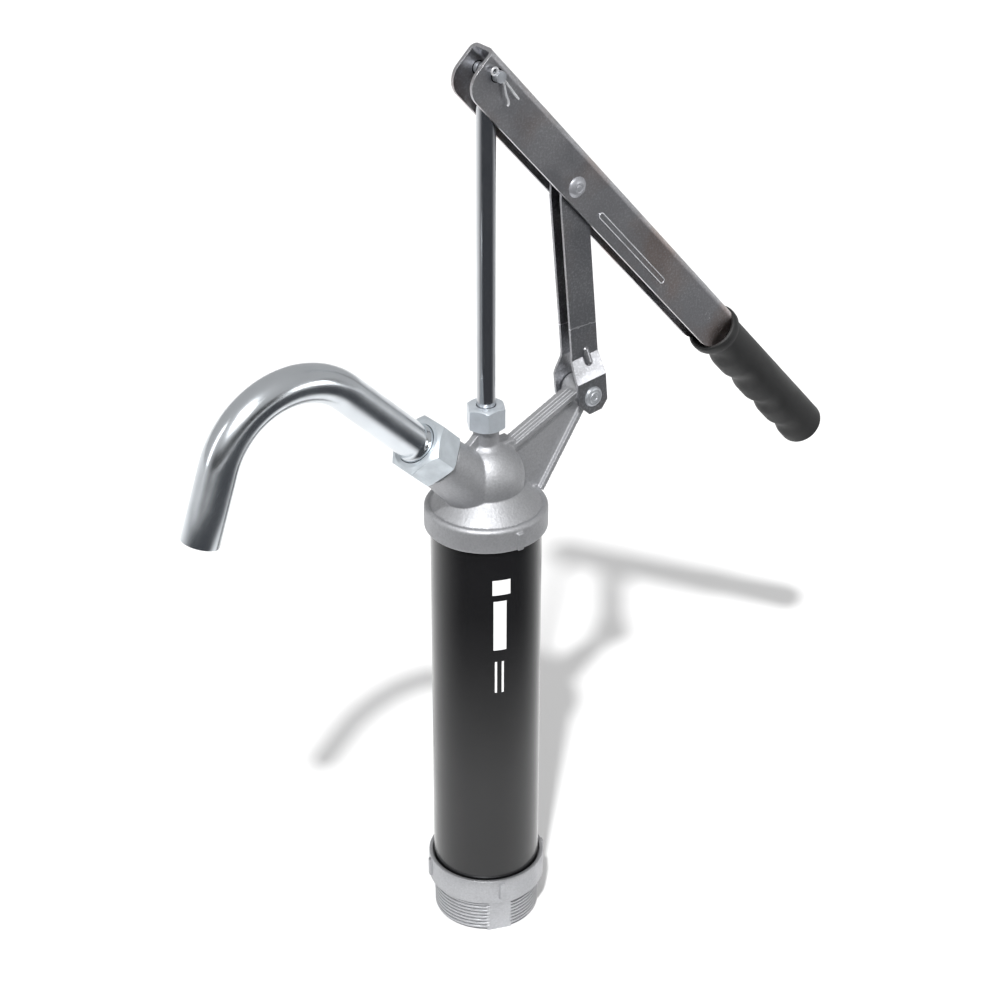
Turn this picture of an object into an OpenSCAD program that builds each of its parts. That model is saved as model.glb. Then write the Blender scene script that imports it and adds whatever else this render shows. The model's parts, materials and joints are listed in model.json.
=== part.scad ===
// Hand lever drum pump: a threaded base, a barrel with a lift piston inside, a cast head
// with a swivelling spout, and a lever that hangs on a link from the head's bracket.
// Frame: +Z up, the barrel's axis is Z, and the origin is the centre of the base thread's
// lower face. The spout points to -X and the handle to +X. Millimetres.

/* [Barrel] */
// Outer diameter of the barrel
barrel_d = 60.4; // [60.2:0.1:61]
// Wall thickness of the barrel
barrel_wall = 2; // [1.5:0.1:2.5]
// Length of barrel seen between the base ring and the head's collar
barrel_len = 218; // [212:1:260]

/* [Base] */
// Diameter over the crests of the drum thread, 2 inch pipe thread
thread_d = 59.6; // [59.6:0.1:59.6]
// Length of the drum thread
thread_len = 22; // [22:1:28]
// Distance between two crests, 11 to the inch
thread_pitch = 2.309; // [2.309:0.001:2.309]
// Outer diameter of the base ring
ring_d = 66.4; // [66:0.2:70]
// Height of the base ring
ring_h = 16; // [15:1:20]
// Inner diameter of the suction pipe's female thread, 3/4 inch pipe thread
suction_d = 24.12; // [24.12:0.01:24.12]

/* [Head] */
// Outer diameter of the head's collar
collar_d = 67; // [66:0.5:70]
// Height of the head's collar
collar_h = 14; // [13:1:16]
// Radius of the head's dome
dome_r = 20.8; // [20:0.1:21]
// Diameter of the neck under the gland nut
neck_d = 14; // [13.5:0.5:14.5]
// Width across the flats of the gland nut
gland_af = 19; // [18.5:0.5:21]

/* [Spout] */
// Outer diameter of the spout pipe
pipe_d = 20; // [19:0.5:20.5]
// Wall thickness of the spout pipe
pipe_wall = 1.5; // [1:0.1:2]
// Radius of the spout's bend at its centre line
bend_r = 46; // [40:1:50]
// Length of the spout's straight end
spout_end = 40; // [34:1:60]
// Width across the flats of the spout's union nut
union_af = 30; // [29:0.5:32]

/* [Lever] */
// Diameter of the piston rod
rod_d = 10; // [9.5:0.5:10]
// Sheet thickness of the lever channel
lever_t = 2; // [1.8:0.1:2.2]
// Outer width of the lever channel
lever_w = 17; // [17:0.5:18]
// Length of the grip
grip_len = 113; // [110:1:150]
// Diameter of the grip
grip_d = 26; // [25:0.5:28]

/* [Link] */
// Sheet thickness of the link channel
link_t = 1.6; // [1.4:0.1:1.8]
// Outer width of the link channel between its bends and its top
link_w = 10; // [9:0.5:10]

/* [Hidden] */
$fn = 64;
eps = 0.01;

// Heights
barrel_r = barrel_d / 2;
bore_r = barrel_r - barrel_wall;
ring_top = thread_len + ring_h;
collar_z = ring_top + barrel_len;
collar_top = collar_z + collar_h;
dome_z = collar_top + 15;
dome_foot = 5;
neck_z = dome_z + 30;
gland_h = 13;
gland_top = neck_z + gland_h;

// Floor of the base cap, the gasket that the barrel stands on, and the barrel's ends
floor_bottom = 15;
floor_top = 24;
gasket_t = 2;
barrel_bottom = floor_top + gasket_t;
barrel_top = collar_z + 9;
socket_gap = 0.05;

// Foot valve
seat_r = 12;
seat_bore = 8;
disc_t = 2.5;
foot_lift = 5;
valve_seat_z = floor_top + 2;

// Piston, measured from the lower end of the rod
rod_end_z = 168;
nut_z = rod_end_z + 2;
nut_h = 8;
washer_z = nut_z + nut_h;
washer_t = 2.5;
cup_z = washer_z + washer_t;
cup_t = 3;
cup_h = 14;
body_z = cup_z + cup_t;
body_h = 13;
valve_z = body_z + body_h;
valve_lift = 4.5;
stop_z = valve_z + disc_t + valve_lift;
port_count = 6;
port_r = 3.2;
port_ring = 14;

// Linkage in the plane y = 0: rod pin R, lever pivot P, bracket pivot B
rod_pin_z = gland_top + 183;
lever_slope = 48;
pivot_along = 88.2;
pivot_up = -8.7;
bracket_x = 65;
bracket_z = gland_top - 11.6;
pivot_x = pivot_along * cos(lever_slope) + pivot_up * sin(lever_slope);
pivot_z = rod_pin_z - pivot_along * sin(lever_slope) + pivot_up * cos(lever_slope);
link_tilt = atan((bracket_x - pivot_x) / (pivot_z - bracket_z));
link_len = norm([bracket_x - pivot_x, pivot_z - bracket_z]);
pin_r = 3;
rivet_r = 3.5;
run_gap = 0.05;

// Lever section, from the rod pin across the channel
lever_top = 8;
lever_bottom = -17;
lever_start = -10.5;
lever_stop = 249;
grip_start = lever_stop;
grip_axis = -4.5;

// Flat bar that joins the grip to the lever, and its two rivets
tang_w = lever_w - 2 * lever_t;
tang_h = 14;
tang_stop = grip_start + grip_len - 14;
tang_rivet_r = 2;
tang_rivet_x = [lever_stop - 22, lever_stop - 8];

// Outlet, measured along its axis from the barrel's axis
outlet_z = collar_top + 4;
outlet_slope = 45;
boss_r = 13;
boss_end = 56;
union_back = 48;
union_len = 17;
neck_in = 5;
packing_h = 3.8;
gland_washer_t = 1.2;
bend_start = 125.6;
bend_angle = 180 - outlet_slope - 19.3;

// ---- helpers ----

module ring(r_out, r_in, h) {
    difference() {
        cylinder(r = r_out, h = h);
        translate([0, 0, -1]) cylinder(r = r_in, h = h + 2);
    }
}

// Hexagonal prism across flats af, with both ends of its corners chamfered when wanted
module hex_prism(af, h, chamfer_top = 0, chamfer_bottom = 0) {
    corner_r = af / sqrt(3);
    intersection() {
        cylinder(r = corner_r, h = h, $fn = 6);
        rotate_extrude() polygon([
            [0, 0], [corner_r - chamfer_bottom * 1.7, 0], [corner_r, chamfer_bottom],
            [corner_r, h - chamfer_top], [corner_r - chamfer_top * 1.7, h], [0, h]
        ]);
    }
}

// Low dome with a flat foot, height h over a circle of radius r
module dome_head(r, h) {
    sphere_r = (r * r + h * h) / (2 * h);
    intersection() {
        translate([0, 0, h - sphere_r]) sphere(r = sphere_r);
        cylinder(r = r, h = h);
    }
}

// Rounded bar between two points of a sheet, both ends round
module stadium(length, width) {
    translate([0, -width / 2]) square([length, width]);
    circle(d = width);
    translate([length, 0]) circle(d = width);
}

// Places children in the lever's frame: X along the lever, Z across it, at the rod pin
module at_lever() {
    translate([0, 0, rod_pin_z]) rotate([0, lever_slope, 0]) children();
}

// Places children in the link's frame: Z from the bracket pivot to the lever pivot
module at_link() {
    translate([bracket_x, 0, bracket_z]) rotate([0, -link_tilt, 0]) children();
}

// Places children on the outlet's axis, Z along it
module at_outlet(along = 0) {
    translate([0, 0, outlet_z]) rotate([0, -outlet_slope, 0]) translate([0, 0, along]) children();
}

module ports(z, h) {
    for (i = [0 : port_count - 1])
        rotate([0, 0, i * 360 / port_count]) translate([port_ring, 0, z]) cylinder(r = port_r, h = h);
}

// ---- base ----

// Half outline of the whole cap. Its ridges stand for the thread, with their crests cut flat.
module cap_profile() {
    crest = thread_d / 2;
    root = crest - 1.48;
    crests = floor((thread_len - 1) / thread_pitch);
    flank = thread_pitch * 0.4;
    first = 0.6;
    wall = crest - 4.8;
    boss = suction_d / 2 + 5;
    ring_r = ring_d / 2;
    socket = barrel_r + socket_gap;
    mouth = barrel_r + 0.7;
    polygon(concat(
        [[suction_d / 2, 2], [boss, 2], [boss, floor_bottom], [wall, floor_bottom], [wall, 0], [root, 0]],
        [for (i = [0 : crests - 1]) for (p = [[root, 0], [crest, flank], [crest, thread_pitch - flank]])
            [p[0], first + i * thread_pitch + p[1]]],
        [[root, first + crests * thread_pitch], [root, thread_len]],
        [[ring_r - 0.8, thread_len], [ring_r, thread_len + 0.8], [ring_r, ring_top - 0.8], [ring_r - 0.8, ring_top]],
        [[mouth + 0.5, ring_top], [mouth, ring_top - 0.5], [mouth, ring_top - 5], [socket, ring_top - 5]],
        [[socket, floor_top], [seat_r, floor_top], [seat_r, floor_top - 4], [seat_bore, floor_top - 4]],
        [[seat_bore, floor_bottom + 3], [suction_d / 2, floor_bottom + 3]]
    ));
}

module base_cap() {
    lug_angle = 68;
    lug_out = 1.3;
    rib_start = suction_d / 2 + 3;
    rib_stop = thread_d / 2 - 3;
    color("lightgray") difference() {
        union() {
            rotate_extrude() cap_profile();
            for (i = [0 : 5]) rotate([0, 0, i * 60])
                translate([rib_start, -1.5, 5]) cube([rib_stop - rib_start, 3, floor_bottom - 3]);
            for (i = [0 : 3]) rotate([0, 0, lug_angle + i * 90])
                translate([ring_d / 2 - 1.2, -1.7, thread_len + 3]) cube([1.2 + lug_out, 3.4, ring_h - 4.5]);
        }
        // Two smooth bands where the casting dies part
        for (turn = [0, 180]) rotate([0, 0, lug_angle + turn])
            translate([thread_d / 2 - 1.2, -7, -1]) cube([5, 14, thread_len + 0.7]);
    }
}

module base_gasket() {
    color("black") translate([0, 0, floor_top]) ring(barrel_r, bore_r - 1.5, gasket_t);
}

module foot_valve_seat() {
    color("goldenrod") translate([0, 0, floor_top - 4]) rotate_extrude() polygon([
        [seat_bore, 0], [seat_r, 0], [seat_r, 4], [seat_bore + 2, 4], [seat_bore + 1.2, 6],
        [seat_bore, 6]
    ]);
}

module foot_valve_disc() {
    color("dimgray") translate([0, 0, valve_seat_z]) cylinder(r = 11, h = disc_t);
}

// Three posts on the floor of the base and a ring above them that stops the disc
module foot_valve_cage() {
    post_x = 13.6;
    cage_top = valve_seat_z + disc_t + foot_lift;
    color("goldenrod") {
        difference() {
            translate([0, 0, cage_top]) cylinder(r = 16, h = 2);
            translate([0, 0, cage_top - 1]) cylinder(r = 7, h = 4);
        }
        for (i = [0 : 2]) rotate([0, 0, 30 + i * 120]) translate([post_x, 0, floor_top])
            cylinder(r = 1.8, h = cage_top - floor_top + eps);
    }
}

// ---- barrel and head ----

module barrel() {
    color("#26272a") translate([0, 0, barrel_bottom]) ring(barrel_r, bore_r, barrel_top - barrel_bottom);
}

module head_gasket() {
    color("black") translate([0, 0, barrel_top]) ring(barrel_r, bore_r - 1.5, gasket_t);
}

// Half outline of the collar, the cone, the ball that rises from it and the neck
module head_profile() {
    collar_r = collar_d / 2;
    rim = 2.5;
    neck_r = neck_d / 2;
    neck_low = sqrt(dome_r * dome_r - neck_r * neck_r);
    foot_angle = asin(dome_foot / dome_r);
    polygon(concat(
        [[0, collar_z], [collar_r - 0.8, collar_z], [collar_r, collar_z + 0.8]],
        [for (t = [0 : 15 : 90]) [collar_r - rim + rim * cos(t), collar_top - rim + rim * sin(t)]],
        [[collar_r - 3.2, collar_top - 0.8]],
        [for (t = [-foot_angle : 6 : 66]) [dome_r * cos(t), dome_z + dome_r * sin(t)]],
        [[neck_r + 0.8, dome_z + neck_low + 0.3], [neck_r, dome_z + neck_low + 1.4],
         [neck_r, neck_z + neck_in], [0, neck_z + neck_in]]
    ));
}

// Plate with a flange along its upper and lower edge, and the boss that the link turns on
module bracket_arm() {
    flange_w = 10;
    flange_t = 3;
    web_w = 5;
    boss_w = 16.8;
    upper_slope = 23.2;
    lower_slope = 55.5;
    upper_len = 62;
    lower_len = 57;
    root_z = collar_top + 26.5;
    ledge_z = collar_top + 34;
    foot = [35.8, collar_top - 4];
    rotate([90, 0, 0]) linear_extrude(web_w, center = true) polygon([
        [4, root_z - 1.7], [bracket_x - 3, bracket_z + 4], [bracket_x + 3, bracket_z - 3],
        foot, [20, collar_top - 4], [16, dome_z - 5]
    ]);
    // The upper flange starts inside the neck and ends on the boss
    translate([5, -flange_w / 2, root_z]) rotate([0, -upper_slope, 0])
        translate([0, 0, -flange_t]) cube([upper_len, flange_w, flange_t]);
    translate([3, -flange_w / 2 + 0.2, ledge_z - 6]) cube([13, flange_w - 0.4, 6]);
    translate([foot[0], -flange_w / 2, foot[1]]) rotate([0, -lower_slope, 0])
        cube([lower_len, flange_w, flange_t]);
    translate([bracket_x, 0, bracket_z]) rotate([90, 0, 0])
        cylinder(r = 7, h = boss_w, center = true);
}

module head_casting() {
    lug_angle = 84;
    neck_r = neck_d / 2;
    cavity_r = dome_r - 4;
    color("silver") difference() {
        union() {
            rotate_extrude() head_profile();
            bracket_arm();
            at_outlet() cylinder(r = boss_r, h = boss_end);
            at_outlet(8) cylinder(r1 = boss_r + 3.5, r2 = boss_r + 1.2, h = union_back - 10);
            // Rib from the outlet's boss to the neck
            rotate([90, 0, 0]) linear_extrude(4, center = true) polygon([
                [0, neck_z - 3], [-neck_r - 0.5, neck_z - 3], [-17, neck_z - 11], [-22, dome_z + 11],
                [-14, dome_z + 4], [0, dome_z]
            ]);
            for (turn = [0, 180]) rotate([0, 0, lug_angle + turn])
                translate([collar_d / 2 - 3, -1.8, collar_z + 0.6]) cube([4.6, 3.6, collar_h - 4]);
        }
        translate([0, 0, collar_z - 1]) cylinder(r = barrel_r + socket_gap, h = barrel_top + gasket_t - collar_z + 1);
        translate([0, 0, barrel_top]) cylinder(r1 = bore_r - 1.5, r2 = cavity_r - 0.7, h = dome_z - dome_foot - barrel_top);
        translate([0, 0, dome_z]) sphere(r = cavity_r);
        translate([0, 0, dome_z]) cylinder(r = rod_d / 2 + 0.3, h = 60);
        at_outlet() cylinder(r = pipe_d / 2 - 1.5, h = boss_end + 1);
        translate([bracket_x, 0, bracket_z]) rotate([90, 0, 0])
            cylinder(r = rivet_r + run_gap, h = 30, center = true);
    }
}

module gland_packing() {
    color("ivory") translate([0, 0, neck_z + neck_in]) ring(neck_d / 2 - 0.1, rod_d / 2 + run_gap, packing_h);
}

module gland_washer() {
    color("goldenrod") translate([0, 0, neck_z + neck_in + packing_h])
        ring(neck_d / 2 - 0.1, rod_d / 2 + 0.2, gland_washer_t);
}

module gland_nut() {
    room = neck_in + packing_h + gland_washer_t;
    color("lightsteelblue") difference() {
        translate([0, 0, neck_z]) hex_prism(gland_af, gland_h, 1.2, 1.2);
        translate([0, 0, neck_z - 1]) cylinder(r = neck_d / 2, h = room + 1);
        translate([0, 0, neck_z]) cylinder(r = rod_d / 2 + 0.4, h = gland_h + 1);
    }
}

// ---- spout ----

module outlet_gasket() {
    color("black") at_outlet(boss_end) ring(12.4, pipe_d / 2 - 1.5, 1.5);
}

// The nut reaches back over the boss, whose outside carries its thread
module outlet_nut() {
    lip_z = union_len - 3.5;
    color("lightsteelblue") difference() {
        at_outlet(union_back) rotate([0, 0, 30]) hex_prism(union_af, union_len, 2.2, 0.8);
        at_outlet(union_back - 1) cylinder(r = boss_r, h = lip_z + 1);
        at_outlet(union_back) cylinder(r = 11.3, h = union_len + 1);
    }
}

// Straight foot, one bend and a straight end, each a tube. The bend's wall is 0.05 mm
// thicker on both sides, so that no two round faces touch along a tangent.
module spout_tube() {
    r = pipe_d / 2;
    bore = r - pipe_wall;
    step = 0.05;
    foot_z = boss_end + 1.5;
    at_outlet(foot_z) ring(r, bore, bend_start - foot_z);
    at_outlet(bend_start) translate([-bend_r, 0, 0]) rotate([90, 0, 0]) {
        difference() {
            rotate_extrude(angle = bend_angle) translate([bend_r, 0]) circle(r = r + step);
            rotate_extrude() translate([bend_r, 0]) circle(r = bore - step);
        }
        rotate([0, 0, bend_angle]) translate([bend_r, 0, 0]) rotate([-90, 0, 0])
            ring(r, bore, spout_end);
    }
}

module spout_pipe() {
    inner = pipe_d / 2 - 0.5;
    color("gainsboro") {
        spout_tube();
        // Bead that the nut's lip presses on its gasket
        at_outlet(boss_end + 1.5) rotate_extrude() polygon([
            [inner, 0], [12.4, 0], [12.4, 4], [11.2, 4], [11.2, 7.4], [10.6, 8.6], [inner, 9.4]
        ]);
    }
}

// ---- piston ----

// The rod's top is round about the pin, so that the lever's web swings over it
module piston_rod() {
    rod_len = rod_pin_z - rod_end_z;
    rod_r = rod_d / 2;
    color("gainsboro") difference() {
        translate([0, 0, rod_end_z]) rotate_extrude() polygon(concat(
            [[0, 0], [rod_r - 1, 0], [rod_r, 1]],
            [for (t = [0 : 15 : 75]) [rod_r * cos(t), rod_len + rod_r * sin(t)]],
            [[0, rod_len + rod_r]]
        ));
        translate([0, 0, rod_pin_z]) rotate([90, 0, 0]) cylinder(r = pin_r + run_gap, h = 30, center = true);
    }
}

module piston_nut() {
    color("lightsteelblue") difference() {
        translate([0, 0, nut_z]) hex_prism(17, nut_h, 1, 1);
        translate([0, 0, nut_z - 1]) cylinder(r = rod_d / 2, h = nut_h + 2);
    }
}

module cup_washer() {
    color("silver") difference() {
        translate([0, 0, washer_z]) ring(22, rod_d / 2, washer_t);
        ports(washer_z - 1, washer_t + 2);
    }
}

// Leather cup whose lip stands up round the piston body
module piston_cup() {
    lip_r = bore_r - 0.05;
    color("saddlebrown") difference() {
        translate([0, 0, cup_z]) cylinder(r = lip_r, h = cup_h);
        translate([0, 0, body_z]) cylinder(r = lip_r - 2.4, h = cup_h);
        translate([0, 0, cup_z - 1]) cylinder(r = rod_d / 2, h = cup_t + 2);
        ports(cup_z - 1, cup_t + 2);
    }
}

module piston_body() {
    color("silver") difference() {
        translate([0, 0, body_z]) cylinder(r = bore_r - 2.45, h = body_h);
        translate([0, 0, body_z - 1]) cylinder(r = rod_d / 2, h = body_h + 2);
        ports(body_z - 1, body_h + 2);
    }
}

module piston_valve_disc() {
    color("dimgray") translate([0, 0, valve_z]) ring(20, rod_d / 2 + run_gap, disc_t);
}

module piston_valve_stop() {
    color("silver") translate([0, 0, stop_z]) ring(8, rod_d / 2, 3);
}

// ---- lever ----

// Upright bar of the given width whose two upper corners are round
module round_top(width, top, bottom, corner_r) {
    half = width / 2;
    translate([-half, bottom]) square([width, top - bottom - corner_r]);
    translate([-half + corner_r, bottom]) square([width - 2 * corner_r, top - bottom]);
    for (side = [-1, 1]) translate([side * (half - corner_r), top - corner_r]) circle(r = corner_r);
}

// Section of a sheet channel open at its lower side, X across and Y up
module channel_section(width, top, bottom, t, corner_r) {
    difference() {
        round_top(width, top, bottom, corner_r);
        round_top(width - 2 * t, top - t, bottom - 1, corner_r - t);
    }
}

// Sweeps a section along the lever's X
module along_lever(start, length) {
    translate([start, 0, 0]) rotate([90, 0, 90]) linear_extrude(length) children();
}

// Outline of the lever's cheeks: square at the top of its left end, round at the other corners
module lever_outline() {
    round_r = 11;
    nose_low_r = 11.5;
    nose_top_r = 6;
    difference() {
        translate([lever_start, lever_bottom]) square([lever_stop - lever_start, lever_top - lever_bottom]);
        translate([lever_start - 1, lever_bottom - 1]) square([round_r + 1, round_r + 1]);
        translate([lever_stop - nose_low_r, lever_bottom - 1]) square([nose_low_r + 1, nose_low_r + 1]);
        translate([lever_stop - nose_top_r, lever_top - nose_top_r])
            square([nose_top_r + 1, nose_top_r + 1]);
    }
    translate([lever_start + round_r, lever_bottom + round_r]) circle(r = round_r);
    translate([lever_stop - nose_low_r, lever_bottom + nose_low_r]) circle(r = nose_low_r);
    translate([lever_stop - nose_top_r, lever_top - nose_top_r]) circle(r = nose_top_r);
}

module lever_channel() {
    bead_start = 114;
    bead_len = 66;
    color("lightsteelblue") at_lever() difference() {
        union() {
            intersection() {
                along_lever(lever_start - 1, lever_stop - lever_start + 2)
                    channel_section(lever_w, lever_top, lever_bottom, lever_t, 4);
                rotate([90, 0, 0]) linear_extrude(lever_w + 2, center = true) lever_outline();
            }
            // A long bead is pressed outward in each cheek
            for (side = [-1, 1]) translate([bead_start, side * lever_w / 2, grip_axis - 5.2])
                rotate([90, 0, 0]) linear_extrude(1, center = true) stadium(bead_len, 3);
        }
        rotate([90, 0, 0]) cylinder(r = pin_r + 0.02, h = 40, center = true);
        translate([pivot_along, 0, pivot_up]) rotate([90, 0, 0]) cylinder(r = rivet_r, h = 40, center = true);
        for (x = tang_rivet_x) translate([x, 0, grip_axis]) rotate([90, 0, 0])
            cylinder(r = tang_rivet_r, h = 40, center = true);
    }
}

// Flat bar riveted between the cheeks, which carries the grip
module lever_tang() {
    tang_start = lever_stop - 30;
    color("silver") at_lever() difference() {
        translate([tang_start, -tang_w / 2, grip_axis - tang_h / 2])
            cube([tang_stop - tang_start, tang_w, tang_h]);
        for (x = tang_rivet_x) translate([x, 0, grip_axis]) rotate([90, 0, 0])
            cylinder(r = tang_rivet_r, h = 40, center = true);
    }
}

module tang_rivets() {
    color("silver") at_lever() for (x = tang_rivet_x) translate([x, 0, grip_axis]) rotate([90, 0, 0])
        cylinder(r = tang_rivet_r, h = lever_w, center = true);
}

// Grip with a collar at its mouth and finger hollows along its lower side
module grip() {
    grip_r = grip_d / 2;
    collar = 1.8;
    end_r = 3;
    first_hollow = 10.5;
    finger = 28.3;
    hollow_r = 9;
    hollow_in = 1.8;
    color("#3a3b3d") at_lever() difference() {
        translate([grip_start, 0, grip_axis]) rotate([0, 90, 0]) rotate_extrude() polygon(concat(
            [[0, 0], [grip_r + collar, 0], [grip_r + collar, 2.6], [grip_r, 4.6]],
            [for (t = [0 : 15 : 90])
                [grip_r - end_r + end_r * cos(t), grip_len - end_r + end_r * sin(t)]],
            [[0, grip_len]]
        ));
        for (i = [0 : 3])
            translate([grip_start + first_hollow + i * finger, 0, grip_axis - grip_r - hollow_r + hollow_in])
                rotate([90, 0, 0]) cylinder(r = hollow_r, h = grip_d, center = true);
        translate([grip_start - 1, -tang_w / 2, grip_axis - tang_h / 2])
            cube([tang_stop - grip_start + 1, tang_w, tang_h]);
    }
}

// Clevis pin with its head on the far side
module rod_pin() {
    half = lever_w / 2;
    tail = 4;
    color("silver") at_lever() rotate([90, 0, 0]) difference() {
        union() {
            translate([0, 0, -half]) cylinder(r = pin_r, h = lever_w + tail);
            translate([0, 0, -half - 2]) cylinder(r = 5, h = 2);
        }
        translate([0, 0, half + tail / 2]) rotate([0, 90, 0]) cylinder(r = 1.05, h = 10, center = true);
    }
}

// Split pin: a shank through the clevis pin, an eye at one end and two legs bent apart
module cotter_pin() {
    shank_r = 0.95;
    leg_r = 0.5;
    eye_r = 1.8;
    color("gainsboro") at_lever() translate([0, -lever_w / 2 - 2, 0]) {
        translate([-3.6, 0, 0]) rotate([0, 90, 0]) cylinder(r = shank_r, h = 8.6);
        for (side = [-1, 1]) translate([4, 0, side * 0.35]) rotate([0, 90 + side * -18, 0])
            cylinder(r = leg_r, h = 9);
        translate([-3.6 - eye_r, 0, 0]) rotate([90, 0, 0]) rotate_extrude()
            translate([eye_r, 0]) circle(r = leg_r);
    }
}

// Rivet of the lever's pivot, as the two ends that sit in the cheeks
module lever_rivets() {
    half = lever_w / 2;
    color("silver") at_lever() translate([pivot_along, 0, pivot_up]) for (side = [-1, 1])
        rotate([side * 90, 0, 0]) translate([0, 0, half]) {
            dome_head(5.2, 2);
            translate([0, 0, -lever_t]) cylinder(r = rivet_r, h = lever_t + eps);
        }
}

// ---- link ----

// Outline of the link's cheeks: eye at the top, ears with cut corners at the foot
module link_outline() {
    eye_r = 7.4;
    foot = 10;
    difference() {
        union() {
            translate([-8, 12]) square([17.5, link_len - 12 - 6]);
            polygon([[-9.8, 14], [-9.8, -2], [-3, -foot], [5.5, -foot], [9.8, -5.5], [9.8, 14], [9.5, 26], [-8, 26]]);
        }
        translate([-20, link_len - 6]) square([40, 30]);
    }
    translate([0, link_len]) circle(r = eye_r);
    polygon([[-8, link_len - 6.1], [-eye_r, link_len], [eye_r, link_len], [9.5, link_len - 6.1]]);
}

// One cheek seen from the link's edge: straight, then bent outward to the ear
module cheek_section() {
    inner = link_w / 2 - link_t;
    ear_out = 10.4;
    bend_top = 23;
    bend_low = 10.5;
    polygon([
        [inner, bend_top + 0.3], [ear_out - link_t, bend_low + 0.3], [ear_out - link_t, -12],
        [ear_out, -12], [ear_out, bend_low], [link_w / 2, bend_top],
        [link_w / 2, link_len + 12], [inner, link_len + 12]
    ]);
}

module link_channel() {
    web_x = 9.5;
    color("lightsteelblue") at_link() difference() {
        union() {
            intersection() {
                rotate([90, 0, 0]) linear_extrude(40, center = true) link_outline();
                rotate([90, 0, 90]) linear_extrude(40, center = true) {
                    cheek_section();
                    mirror([1, 0]) cheek_section();
                }
            }
            translate([web_x - link_t, -link_w / 2, 25]) cube([link_t, link_w, link_len - 44]);
            // A short bead stiffens each bend
            for (side = [-1, 1]) translate([1.5, side * (link_w / 2 - 0.9), 26]) rotate([side * -158, 0, 0]) {
                cylinder(r = 2.1, h = 7);
                sphere(r = 2.1);
                translate([0, 0, 7]) sphere(r = 2.1);
            }
        }
        rotate([90, 0, 0]) cylinder(r = rivet_r, h = 40, center = true);
        translate([0, 0, link_len]) rotate([90, 0, 0]) cylinder(r = rivet_r, h = 40, center = true);
    }
}

module link_rivet() {
    half = 10.4;
    color("silver") at_link() {
        rotate([90, 0, 0]) cylinder(r = rivet_r, h = 2 * half, center = true);
        for (side = [-1, 1]) rotate([side * 90, 0, 0]) translate([0, 0, half]) dome_head(5.4, 2);
    }
}

base_cap();
base_gasket();
foot_valve_seat();
foot_valve_disc();
foot_valve_cage();
barrel();
head_gasket();
head_casting();
gland_packing();
gland_washer();
gland_nut();
outlet_gasket();
outlet_nut();
spout_pipe();
piston_rod();
piston_nut();
cup_washer();
piston_cup();
piston_body();
piston_valve_disc();
piston_valve_stop();
lever_channel();
lever_tang();
tang_rivets();
grip();
rod_pin();
cotter_pin();
lever_rivets();
link_channel();
link_rivet();
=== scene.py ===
"""Looks of the hand lever drum pump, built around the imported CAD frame. Metres, +Z up."""

import json
import math

import bmesh
import bpy
from mathutils import Matrix, Vector


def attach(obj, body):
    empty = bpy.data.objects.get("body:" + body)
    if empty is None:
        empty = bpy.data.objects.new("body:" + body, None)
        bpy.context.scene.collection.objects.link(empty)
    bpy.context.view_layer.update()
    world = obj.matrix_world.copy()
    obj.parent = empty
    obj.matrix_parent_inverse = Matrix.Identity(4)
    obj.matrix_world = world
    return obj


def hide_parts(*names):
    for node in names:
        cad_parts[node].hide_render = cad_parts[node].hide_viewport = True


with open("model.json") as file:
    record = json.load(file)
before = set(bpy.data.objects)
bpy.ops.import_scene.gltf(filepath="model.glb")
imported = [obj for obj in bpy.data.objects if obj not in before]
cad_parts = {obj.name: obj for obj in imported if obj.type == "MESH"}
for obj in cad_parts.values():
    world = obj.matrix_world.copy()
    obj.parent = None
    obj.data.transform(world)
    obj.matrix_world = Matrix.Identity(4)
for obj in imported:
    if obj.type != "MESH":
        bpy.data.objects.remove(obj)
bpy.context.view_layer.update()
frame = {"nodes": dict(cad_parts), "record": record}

MM = 0.001
NODES = frame["nodes"]
BODIES = frame["record"]["behaviour"]["bodies"]

# Places in the plane y = 0, as the CAD has them. The lever's frame runs from the rod's pin
# along the lever, the outlet's from the head's ball up the spout.
UP = Vector((0, 0, 1))
ACROSS = Vector((0, 1, 0))
ROD_PIN = Vector((0, 0, 511 * MM))
LEVER_FRAME = Matrix.Translation(ROD_PIN) @ Matrix.Rotation(math.radians(48), 4, "Y")
LEVER_PIVOT = LEVER_FRAME @ Vector((88.2 * MM, 0, -8.7 * MM))
LINK_PIVOT = Vector((65 * MM, 0, 316.4 * MM))
OUTLET = Vector((0, 0, 274 * MM))
OUTLET_FRAME = Matrix.Translation(OUTLET) @ Matrix.Rotation(math.radians(-45), 4, "Y")
OUTLET_AXIS = OUTLET_FRAME.to_3x3() @ UP
ARM_FRAME = Matrix.Translation((5 * MM, 0, 296.5 * MM)) @ Matrix.Rotation(math.radians(-23.2), 4, "Y")

# Where the base cap's two smooth bands and its lugs are, round the barrel's axis
BAND_SIDE = math.radians(68)
BAND_HALF = 7 * MM
THREAD_LEN = 22 * MM


# ---- materials ----

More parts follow.
